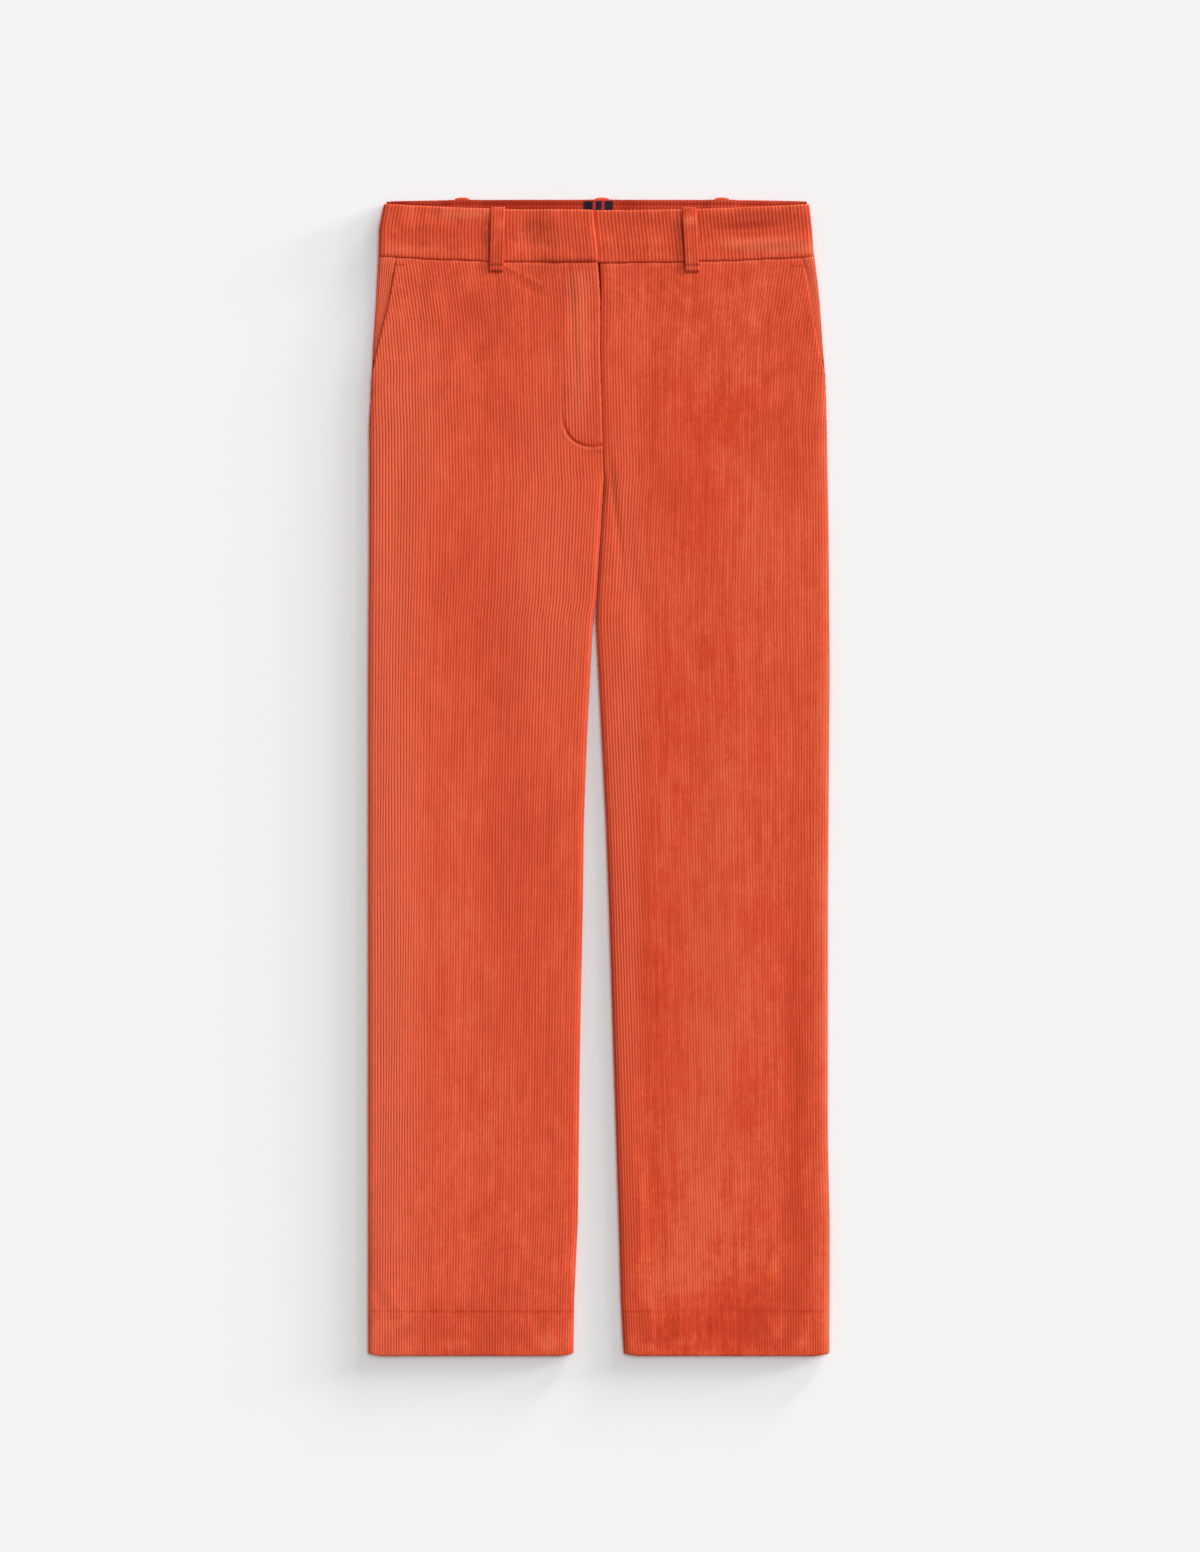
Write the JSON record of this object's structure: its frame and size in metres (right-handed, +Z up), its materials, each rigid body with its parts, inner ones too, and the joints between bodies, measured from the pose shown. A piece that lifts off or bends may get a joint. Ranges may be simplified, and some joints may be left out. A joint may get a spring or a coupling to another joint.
{
  "type": "corduroy trousers laid flat",
  "caption": "Straight-leg corduroy trousers laid flat on their back, with a lapped waistband, belt loops, slanted front pockets and a zip fly.",
  "frame": {"origin": "centre of the garment's bounding box, on the surface it lies on", "axes": "+Y along the garment towards the waist, +X towards the viewer's right with the front up, +Z up out of the front"},
  "size_m": [0.4065, 1.02, 0.012],
  "materials": {
    "corduroy": "matte ribbed pile with a soft sheen",
    "zip_tape": "matte woven tape",
    "hardware": "satin",
    "label_cloth": "woven satin"
  },
  "bodies": {
    "root": {"front_left": "corduroy", "front_right": "corduroy", "back_left": "corduroy", "back_right": "corduroy", "pocket_facing_left": "corduroy", "pocket_facing_right": "corduroy", "waistband_back": "corduroy", "waistband_front_left": "corduroy", "waistband_front_right": "corduroy", "fly_shield": "corduroy", "belt_loop_front_left": "corduroy", "belt_loop_front_right": "corduroy", "belt_loop_back_left": "corduroy", "belt_loop_back_centre": "corduroy", "belt_loop_back_right": "corduroy", "fly_zip": "zip_tape", "zip_slider": "hardware", "waist_hook": "hardware", "label_tape": "label_cloth"}
  },
  "joints": []
}
